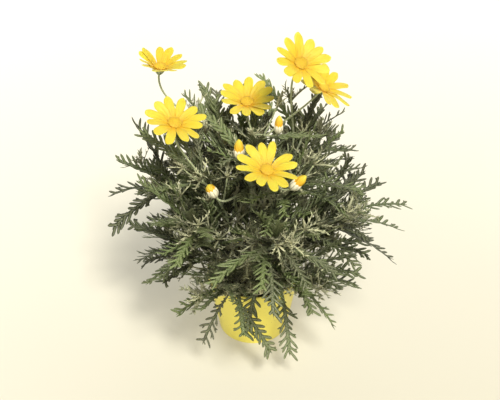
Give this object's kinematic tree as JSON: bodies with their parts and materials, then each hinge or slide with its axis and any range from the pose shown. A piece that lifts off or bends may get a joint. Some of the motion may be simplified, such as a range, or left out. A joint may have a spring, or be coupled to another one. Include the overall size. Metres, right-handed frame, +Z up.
{
  "type": "potted daisy plant",
  "caption": "Bush daisy with comb-cut grey-green leaves and open yellow heads and buds, in a plain yellow round tapered pot filled with dark soil",
  "frame": {"origin": "Centre of the pot's flat base, on the surface that it rests on", "axes": "+Z up along the pot's axis; -Y toward the side that faces the viewer; +X to the viewer's right"},
  "size_m": [0.332, 0.2973, 0.3699],
  "materials": {
    "pot": "satin",
    "soil": "matte",
    "foliage": "matte",
    "rays": "matte",
    "disc": "matte"
  },
  "bodies": {
    "root": {"pot": "pot", "soil": "soil", "leafy_stem_01": "foliage", "leafy_stem_02": "foliage", "leafy_stem_03": "foliage", "leafy_stem_04": "foliage", "leafy_stem_05": "foliage", "leafy_stem_06": "foliage", "leafy_stem_07": "foliage", "leafy_stem_08": "foliage", "leafy_stem_09": "foliage", "leafy_stem_10": "foliage", "leafy_stem_11": "foliage", "leafy_stem_12": "foliage", "leafy_stem_13": "foliage", "leafy_stem_14": "foliage", "leafy_stem_15": "foliage", "leafy_stem_16": "foliage", "leafy_stem_17": "foliage", "leafy_stem_18": "foliage", "bloom_01_rays": "rays", "bloom_01_disc": "disc", "bloom_02_rays": "rays", "bloom_02_disc": "disc", "bloom_03_rays": "rays", "bloom_03_disc": "disc", "bloom_04_rays": "rays", "bloom_04_disc": "disc", "bloom_05_rays": "rays", "bloom_05_disc": "disc", "bloom_06_rays": "rays", "bloom_06_disc": "disc", "bud_01_rays": "rays", "bud_02_rays": "rays", "bud_03_rays": "rays", "bud_04_rays": "rays"}
  },
  "joints": []
}
